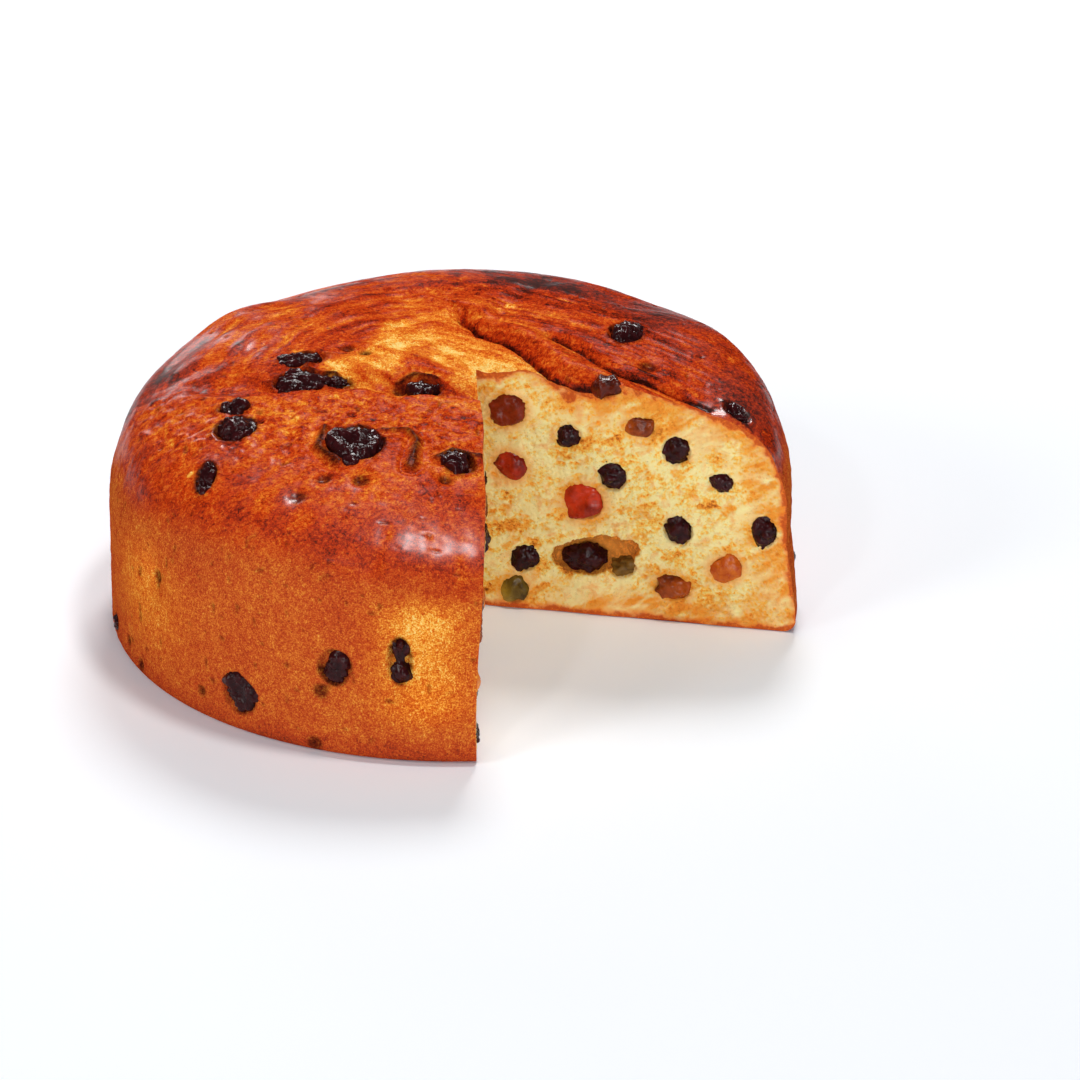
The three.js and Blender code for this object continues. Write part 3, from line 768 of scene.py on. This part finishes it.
# Fruit
def fruit_piece(fruit, material, swell, rise, wrinkle):
    """The CAD node's form, made smooth and then wrinkled. rise is how much it swells outwards."""
    name = fruit.name
    form = bmesh.new()
    form.from_mesh(frame["nodes"][name].data)
    bmesh.ops.remove_doubles(form, verts=form.verts, dist=1e-6)
    middle = Vector(fruit.middle * MM)
    outward = Vector(fruit.outward)
    for vertex in form.verts:
        away = vertex.co - middle
        vertex.co = middle + away * swell + outward * away.dot(outward) * (rise - swell)
    mesh = bpy.data.meshes.new(name + "_form")
    form.to_mesh(mesh)
    form.free()
    rough = link(name + "_form", mesh)
    modifier = rough.modifiers.new("smooth", "SUBSURF")
    modifier.levels = modifier.render_levels = FRUIT_LEVELS
    graph = bpy.context.evaluated_depsgraph_get()
    fine = bpy.data.meshes.new_from_object(rough.evaluated_get(graph))
    fine.name = name + "_piece"
    bpy.data.objects.remove(rough)
    co = np.zeros(len(fine.vertices) * 3)
    normal = np.zeros(len(fine.vertices) * 3)
    fine.vertices.foreach_get("co", co)
    fine.vertices.foreach_get("normal", normal)
    co, normal = co.reshape(-1, 3) / MM, normal.reshape(-1, 3)
    seed = sum(ord(letter) for letter in name)
    height, fold = wrinkle(co, seed)
    co = (co + normal * height[:, None]) * MM
    fine.vertices.foreach_set("co", co.reshape(-1))
    layer = fine.attributes.new("fold", "FLOAT", "POINT")
    layer.data.foreach_set("value", fold.astype(np.float32))
    fine.materials.clear()
    fine.materials.append(material)
    fine.shade_smooth()
    return link(name + "_piece", fine)


def raisin_wrinkle(co, seed):
    x, y, z = co.T
    wide = np.abs(noise(x, y, z, 2.6, seed))
    narrow = np.abs(noise(x, y, z, 1.4, seed + 1))
    # fold is 1 in the valleys of the wrinkles; the raisin material paints them darker as shade
    fold = np.clip(1 - 2.2 * np.minimum(wide, 0.6 * narrow + 0.25), 0, 1)
    return 1.7 * noise(x, y, z, 4.5, seed + 2) + 1.5 * wide + 0.9 * narrow - 0.7, fold


def cut_raisin_wrinkle(co, seed):
    x, y, z = co.T
    wide = np.abs(noise(x, y, z, 2.4, seed))
    narrow = np.abs(noise(x, y, z, 1.2, seed + 1))
    fold = np.clip(1 - 2.2 * np.minimum(wide, 0.6 * narrow + 0.25), 0, 1)
    return 0.9 * noise(x, y, z, 4.5, seed + 2) + 0.9 * wide + 0.7 * narrow - 0.5, fold


def candied_wrinkle(co, seed):
    x, y, z = co.T
    ridge = np.abs(noise(x, y, z, 3.8, seed))
    return 0.6 - 1.7 * ridge + 0.2 * noise(x, y, z, 1.5, seed + 1), 0.5 + 0.5 * noise(x, y, z, 5, seed + 2)


# Materials
class Nodes:
    """A material's node tree, built up by short calls."""

    def __init__(self, name):
        self.material = bpy.data.materials.new(name)
        self.material.use_nodes = True
        self.tree = self.material.node_tree
        self.shader = self.tree.nodes["Principled BSDF"]
        self.place = self.tree.nodes.new("ShaderNodeTexCoord").outputs["Object"]

    def join(self, source, socket):
        self.tree.links.new(source, socket)

    def attribute(self, name):
        node = self.tree.nodes.new("ShaderNodeAttribute")
        node.attribute_name = name
        return node.outputs["Fac"]

    def noise(self, size_mm, detail=2.0, roughness=0.5, distortion=0.0):
        node = self.tree.nodes.new("ShaderNodeTexNoise")
        self.join(self.place, node.inputs["Vector"])
        node.inputs["Scale"].default_value = 1 / (size_mm * MM)
        node.inputs["Detail"].default_value = detail
        node.inputs["Roughness"].default_value = roughness
        node.inputs["Distortion"].default_value = distortion
        return node.outputs["Fac"]

    def math(self, operation, a, b=0.0, c=0.0):
        node = self.tree.nodes.new("ShaderNodeMath")
        node.operation = operation
        for socket, value in zip(node.inputs, (a, b, c)):
            if isinstance(value, (int, float)):
                socket.default_value = value
            else:
                self.join(value, socket)
        return node.outputs[0]

    def spread(self, value, low, high, new_low=0.0, new_high=1.0):
        node = self.tree.nodes.new("ShaderNodeMapRange")
        self.join(value, node.inputs["Value"])
        for key, number in (("From Min", low), ("From Max", high), ("To Min", new_low), ("To Max", new_high)):
            node.inputs[key].default_value = number
        return node.outputs["Result"]

    def ramp(self, value, stops):
        node = self.tree.nodes.new("ShaderNodeValToRGB")
        elements = node.color_ramp.elements
        while len(elements) < len(stops):
            elements.new(0.5)
        for element, (position, colour) in zip(elements, stops):
            element.position = position
            element.color = (*linear(colour), 1)
        self.join(value, node.inputs["Fac"])
        return node.outputs["Color"]

    def blend(self, share, a, b):
        """Mixes two colours, each of them a socket or a colour's three numbers."""
        node = self.tree.nodes.new("ShaderNodeMix")
        node.data_type = "RGBA"
        self.join(share, node.inputs["Factor"])
        for key, colour in (("A", a), ("B", b)):
            socket = [s for s in node.inputs if s.name == key and s.type == "RGBA"][0]
            if isinstance(colour, tuple):
                socket.default_value = (*linear(colour), 1)
            else:
                self.join(colour, socket)
        return [s for s in node.outputs if s.type == "RGBA"][0]

    def bump(self, height, distance_mm, strength=1.0):
        node = self.tree.nodes.new("ShaderNodeBump")
        node.inputs["Strength"].default_value = strength
        node.inputs["Distance"].default_value = distance_mm * MM
        self.join(height, node.inputs["Height"])
        self.join(node.outputs["Normal"], self.shader.inputs["Normal"])

    def soft(self, weight, radius, scale_mm):
        self.shader.inputs["Subsurface Weight"].default_value = weight
        self.shader.inputs["Subsurface Radius"].default_value = radius
        self.shader.inputs["Subsurface Scale"].default_value = scale_mm * MM


def linear(colour):
    """A colour given as it looks on a screen, from 0 to 255, in the renderer's own numbers."""
    return [((c / 255 + 0.055) / 1.055) ** 2.4 if c > 10 else c / 255 / 12.92 for c in colour]


# Colours from light to dark, each with its place on the scale from 0 to 1
CRUST_COLOURS = [
    (0.0, (255, 222, 136)),
    (0.13, (254, 188, 76)),
    (0.28, (242, 136, 38)),
    (0.42, (220, 100, 32)),
    (0.55, (207, 70, 17)),
    (0.68, (184, 48, 12)),
    (0.8, (148, 40, 14)),
    (0.9, (106, 28, 12)),
    (1.0, (56, 16, 8)),
]
CRUMB_COLOURS = [
    (0.0, (255, 237, 168)),
    (0.25, (255, 215, 108)),
    (0.5, (255, 178, 64)),
    (0.75, (228, 132, 40)),
    (1.0, (140, 74, 24)),
]
CRUMB_EDGE_COLOURS = [
    (0.0, (252, 200, 96)),
    (0.4, (246, 158, 56)),
    (0.8, (238, 126, 42)),
    (1.0, (202, 86, 28)),
]

# Tints that are laid over those colours
DULL_TINT = (130, 88, 62)
# Burnt colour, also used for painted shade in the crust's creases
BURNT_AND_SHADE_TINT = (38, 11, 8)
SYRUP_TINT = (246, 156, 52)
# Painted shade of the crumb's tiny pores
PORE_SHADE_TINT = (126, 82, 36)
# Painted shade inside the hollow of the far cut
HOLLOW_SHADE_TINT = (236, 152, 62)
# Painted shade in the gap round each fruit on a cut face
FRUIT_GAP_SHADE_TINT = (214, 134, 54)


def crust_material():
    n = Nodes("crust")
    keys = ("bake", "gloss", "glaze", "burn", "dull")
    bake, gloss, glaze, burn, dull = (n.attribute(key) for key in keys)
    sand = n.noise(0.45, 2, 0.6)
    grain = n.noise(1.2, 4, 0.7)
    patches = n.noise(5, 6, 0.66, 0.5)
    ridge = n.math("ABSOLUTE", n.math("SUBTRACT", n.noise(2.8, 3, 0.6, 1.2), 0.5))
    vein = n.math("MULTIPLY", n.spread(ridge, 0, 0.035, 1, 0), gloss)
    uneven = n.math("MULTIPLY_ADD", n.math("SUBTRACT", sand, 0.5), n.spread(gloss, 0, 1, 1.1, 0.5), bake)
    uneven = n.math("MULTIPLY_ADD", n.math("SUBTRACT", grain, 0.5), n.spread(gloss, 0, 1, 0.7, 1.0), uneven)
    uneven = n.math("MULTIPLY_ADD", n.math("SUBTRACT", patches, 0.5), n.spread(gloss, 0, 1, 0.3, 0.6), uneven)
    uneven = n.math("MULTIPLY_ADD", vein, 0.2, uneven)
    colour = n.ramp(uneven, CRUST_COLOURS)
    colour = n.blend(n.math("MULTIPLY", dull, 0.22), colour, DULL_TINT)
    # The burnt tint, which also lays painted shade into the creases
    colour = n.blend(n.math("MULTIPLY", burn, n.spread(grain, 0.3, 0.6, 0.6, 1.0)), colour, BURNT_AND_SHADE_TINT)
    n.join(colour, n.shader.inputs["Base Color"])
    rough = n.spread(gloss, 0, 1, 0.85, 0.5)
    n.join(n.math("MULTIPLY_ADD", n.math("SUBTRACT", patches, 0.5), 0.3, rough), n.shader.inputs["Roughness"])
    n.shader.inputs["Specular IOR Level"].default_value = 0.0
    n.join(glaze, n.shader.inputs["Coat Weight"])
    n.shader.inputs["Coat Roughness"].default_value = 0.28
    height = n.math("MULTIPLY_ADD", patches, 0.7, grain)
    height = n.math("MULTIPLY_ADD", sand, n.spread(gloss, 0, 1, 0.8, 0.2), height)
    n.bump(n.math("MULTIPLY_ADD", vein, -0.25, height), 0.5, 0.8)
    return n.material


def crumb_material():
    n = Nodes("crumb")
    keys = ("pit", "strand", "band", "halo", "sweet", "hollow")
    pit, strand, band, halo, sweet, hollow = (n.attribute(key) for key in keys)
    grain = n.noise(0.9, 4, 0.7, 0.4)
    cloud = n.noise(7, 3, 0.5, 0.5)
    # Painted shade: the deeper a pore, the darker its colour
    tone = n.math("MULTIPLY_ADD", n.math("SUBTRACT", grain, 0.56), 2.0, n.math("MULTIPLY", pit, 1.0))
    tone = n.math("MULTIPLY_ADD", n.math("SUBTRACT", cloud, 0.5), 0.8, tone)
    tone = n.math("MULTIPLY_ADD", strand, 0.14, tone)
    colour = n.ramp(tone, CRUMB_COLOURS)
    tint = n.spread(n.noise(5, 4, 0.6, 0.6), 0.5, 0.66, 0, 0.65)
    tint = n.math("MAXIMUM", tint, n.math("MULTIPLY", sweet, 0.8))
    tint = n.math("MULTIPLY", tint, n.spread(grain, 0.3, 0.7, 1.15, 0.6))
    colour = n.blend(tint, colour, SYRUP_TINT)
    # Painted shade: small dark specks stand in for tiny shaded pores
    cluster = n.spread(n.noise(4, 2, 0.6), 0.45, 0.6)
    pore_shade = n.math("MULTIPLY", n.spread(n.noise(0.55, 2, 0.6), 0.58, 0.7, 0, 0.35), cluster)
    colour = n.blend(pore_shade, colour, PORE_SHADE_TINT)
    edge_tone = n.math("MULTIPLY_ADD", n.math("SUBTRACT", grain, 0.5), 1.2, band)
    colour = n.blend(band, colour, n.ramp(edge_tone, CRUMB_EDGE_COLOURS))
    # Painted shade inside the hollow of the far cut
    colour = n.blend(n.math("MULTIPLY", hollow, 0.6), colour, HOLLOW_SHADE_TINT)
    # Painted shade in the gap pressed in round each fruit
    colour = n.blend(n.math("MULTIPLY", halo, 0.4), colour, FRUIT_GAP_SHADE_TINT)
    n.join(colour, n.shader.inputs["Base Color"])
    n.shader.inputs["Roughness"].default_value = 0.8
    n.shader.inputs["Specular IOR Level"].default_value = 0.2
    n.bump(n.noise(0.6, 3, 0.7), 0.4, 0.8)
    n.soft(0.1, (1.0, 0.55, 0.2), 1.2)
    return n.material


def raisin_material(name, dark, light):
    n = Nodes(name)
    fold = n.attribute("fold")
    grain = n.noise(1.4, 3, 0.6)
    colour = n.blend(n.math("MULTIPLY", grain, 0.8), dark, light)
    # Painted shade: the valleys of the wrinkles are darkened
    colour = n.blend(n.math("MULTIPLY", fold, 0.6), colour, tuple(c * 0.4 for c in dark))
    n.join(colour, n.shader.inputs["Base Color"])
    n.join(n.spread(grain, 0.3, 0.7, 0.12, 0.24), n.shader.inputs["Roughness"])
    n.shader.inputs["Specular IOR Level"].default_value = 0.18
    n.bump(n.noise(1.4, 1, 0.5, 0.4), 0.35, 1.0)
    return n.material


def candied_material(name, deep, light):
    n = Nodes(name)
    fold = n.attribute("fold")
    grain = n.noise(2.2, 3, 0.6, 0.5)
    share = n.math("ADD", n.spread(fold, 0.25, 0.75, 0, 0.75), n.spread(grain, 0.35, 0.65, 0, 0.35))
    n.join(n.blend(share, deep, light), n.shader.inputs["Base Color"])
    n.join(n.spread(n.noise(1.0, 2), 0.3, 0.7, 0.1, 0.3), n.shader.inputs["Roughness"])
    n.shader.inputs["Specular IOR Level"].default_value = 0.22
    n.bump(n.noise(1.6, 2, 0.5), 0.3, 1.0)
    n.soft(0.08, (1.0, 0.3, 0.1), 2.0)
    return n.material


FRUIT_MATERIALS = {
    "raisin": raisin_material("raisin", (16, 4, 6), (84, 22, 26)),
    "golden_raisin": raisin_material("golden_raisin", (104, 72, 26), (160, 116, 50)),
    "candied_dark_red": candied_material("candied_dark_red", (44, 8, 5), (132, 40, 14)),
    "candied_red": candied_material("candied_red", (90, 10, 6), (204, 56, 24)),
    "candied_orange": candied_material("candied_orange", (176, 66, 12), (250, 146, 40)),
    "candied_amber": candied_material("candied_amber", (84, 26, 8), (184, 82, 20)),
    "candied_green": candied_material("candied_green", (74, 54, 16), (160, 130, 44)),
}
SLOT_OF = {s["node"]: s["material_slot"] for s in frame["record"]["subparts"]}


def finish_loaf():
    crust = crust_material()
    crumb = crumb_material()
    pieces, skin = crust_pieces(crust)
    corner = TOP_ROWS + SHOULDER_ROWS
    pieces.append(crumb_piece("crumb_far_cut", FAR_CUT, skin, 0, corner, 5, crumb))
    pieces.append(crumb_piece("crumb_near_cut", NEAR_CUT, skin, COLUMNS, corner, 8, crumb))
    for piece in pieces:
        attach(piece, "root")
        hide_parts("loaf")


def finish_fruit():
    for fruit in FRUITS:
        slot = SLOT_OF[fruit.name]
        if slot.startswith("candied"):
            form = {"swell": 1.15, "rise": 1.1, "wrinkle": candied_wrinkle}
        elif "cut" in fruit.name:
            form = {"swell": 1.42, "rise": 1.2, "wrinkle": cut_raisin_wrinkle}
        else:
            form = {"swell": 1.3, "rise": 1.2, "wrinkle": raisin_wrinkle}
        piece = fruit_piece(fruit, FRUIT_MATERIALS[slot], **form)
        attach(piece, "root")
        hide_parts(fruit.name)


# Studio, in metres and watts: each light's place, width and power, and the point that all of them face
LIGHTS = {
    "top": ((0.3, -0.12, 1.53), 0.26, 7.3),
    "left": ((-1.2, -0.85, 0.8), 0.6, 7),
    "front": ((0.2, -1.6, 0.36), 0.8, 9.2),
    "behind": ((0.1, 1.05, 1.22), 0.5, 14),
    "back": ((-0.45, 1.45, 0.5), 0.5, 2.5),
    "glint": ((-0.55, -1.2, 1.15), 0.1, 2),
}
LIT_POINT = Vector((0, 0, 0.03))
FLOOR_HALF = 3.0
FLOOR_DROP = 0.0002


def make_floor():
    mesh = bpy.data.meshes.new("floor")
    corners = [(x * FLOOR_HALF, y * FLOOR_HALF, -FLOOR_DROP) for x, y in ((-1, -1), (1, -1), (1, 1), (-1, 1))]
    mesh.from_pydata(corners, [], [(0, 1, 2, 3)])
    n = Nodes("floor")
    n.shader.inputs["Base Color"].default_value = (0.94, 0.95, 0.97, 1)
    n.shader.inputs["Roughness"].default_value = 0.9
    n.shader.inputs["Specular IOR Level"].default_value = 0.1
    n.shader.inputs["Emission Color"].default_value = (0.4, 0.7, 1, 1)
    n.shader.inputs["Emission Strength"].default_value = 0.06
    mesh.materials.append(n.material)
    link("floor", mesh)


def make_light(name, place, size, power):
    data = bpy.data.lights.new(name, "AREA")
    data.shape = "DISK"
    data.size = size
    data.energy = power
    light = bpy.data.objects.new(name, data)
    light.location = place
    light.rotation_euler = (LIT_POINT - Vector(place)).to_track_quat("-Z", "Y").to_euler()
    bpy.context.scene.collection.objects.link(light)


def make_studio():
    make_floor()
    for name, (place, size, power) in LIGHTS.items():
        make_light(name, place, size, power)
    world = bpy.data.worlds.new("studio")
    world.use_nodes = True
    world.node_tree.nodes["Background"].inputs["Color"].default_value = (1, 1, 1, 1)
    world.node_tree.nodes["Background"].inputs["Strength"].default_value = 0.09
    bpy.context.scene.world = world
    bpy.context.scene.view_settings.view_transform = "Standard"
    bpy.context.scene.view_settings.look = "None"


def make_camera():
    """Turned away from the middle of the base by as much as the photograph's frame is."""
    elevation = math.radians(CAMERA_ELEVATION)
    data = bpy.data.cameras.new("camera")
    data.lens = CAMERA_LENS
    data.sensor_width = CAMERA_SENSOR
    camera = bpy.data.objects.new("camera", data)
    place = Vector((0, -math.cos(elevation), math.sin(elevation))) * CAMERA_DISTANCE
    facing = (-place).to_track_quat("-Z", "Y").to_matrix().to_4x4()
    sideways = Matrix.Rotation(math.atan2(BASE_RIGHT, FOCAL_PIXELS), 4, "Y")
    upward = Matrix.Rotation(math.atan2(BASE_DOWN, FOCAL_PIXELS), 4, "X")
    camera.matrix_world = Matrix.Translation(place) @ facing @ sideways @ upward
    bpy.context.scene.collection.objects.link(camera)
    bpy.context.scene.camera = camera


make_camera()
make_studio()
finish_loaf()
finish_fruit()
